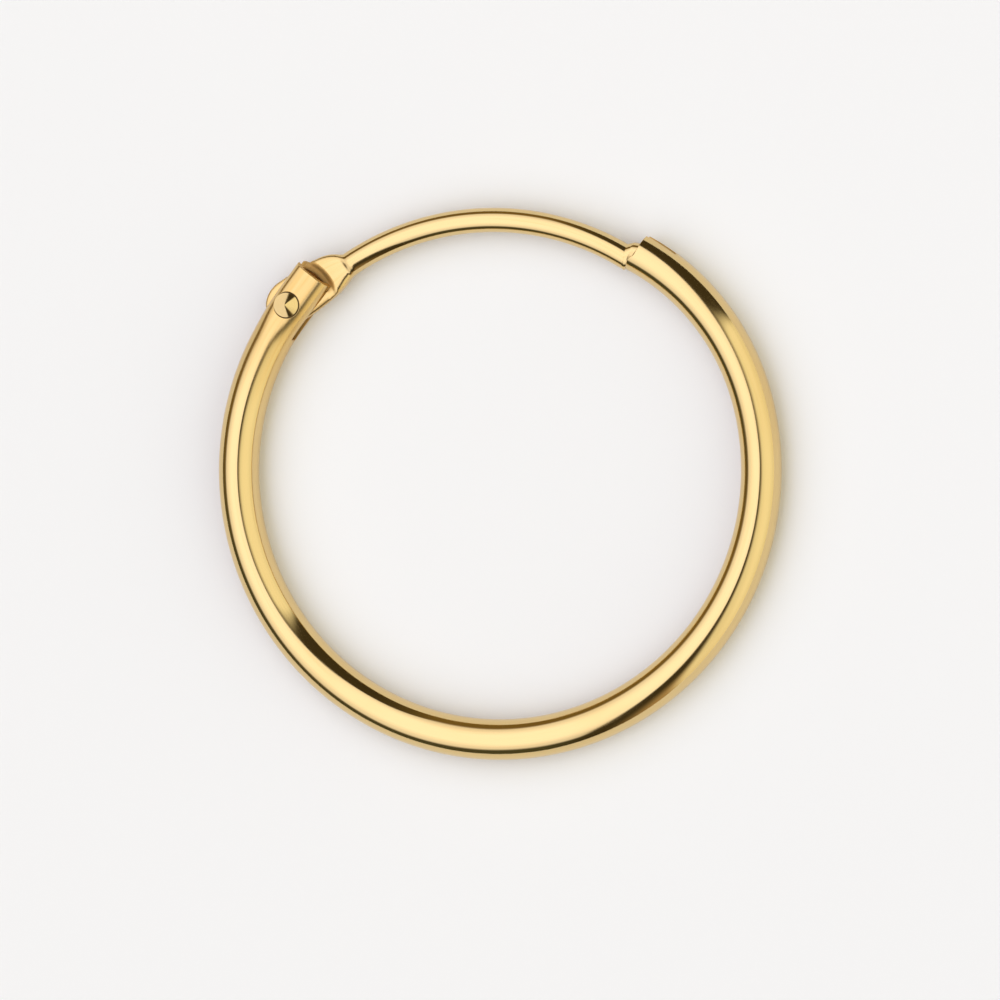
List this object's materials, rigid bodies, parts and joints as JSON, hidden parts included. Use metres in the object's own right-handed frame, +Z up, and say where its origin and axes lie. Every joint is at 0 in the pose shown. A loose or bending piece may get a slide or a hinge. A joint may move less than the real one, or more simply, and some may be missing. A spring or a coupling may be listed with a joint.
{
  "type": "hinged hoop earring",
  "caption": "Small round hoop earring of hollow gold tube with a hinged ear wire that closes into the tube's open end.",
  "frame": {"origin": "middle of the earring's box, on the surface that the hoop lies on", "axes": "+Z up, square to the hoop's plane, towards the rivet's head; +Y towards the ear wire; +X towards the catch"},
  "size_m": [0.017, 0.0162, 0.0014],
  "materials": {
    "polished_gold": "polished yellow gold"
  },
  "bodies": {
    "hoop": {"hoop_tube": "polished_gold", "hinge_rivet": "polished_gold"},
    "wire": {"ear_wire": "polished_gold"}
  },
  "joints": [
    {"name": "wire_hinge", "type": "hinge", "parent": "hoop", "child": "wire", "pos_m": [-0.00623, 0.00526, 0.0006], "axis": [0, 0, 1], "range_deg": [0, 100]}
  ]
}
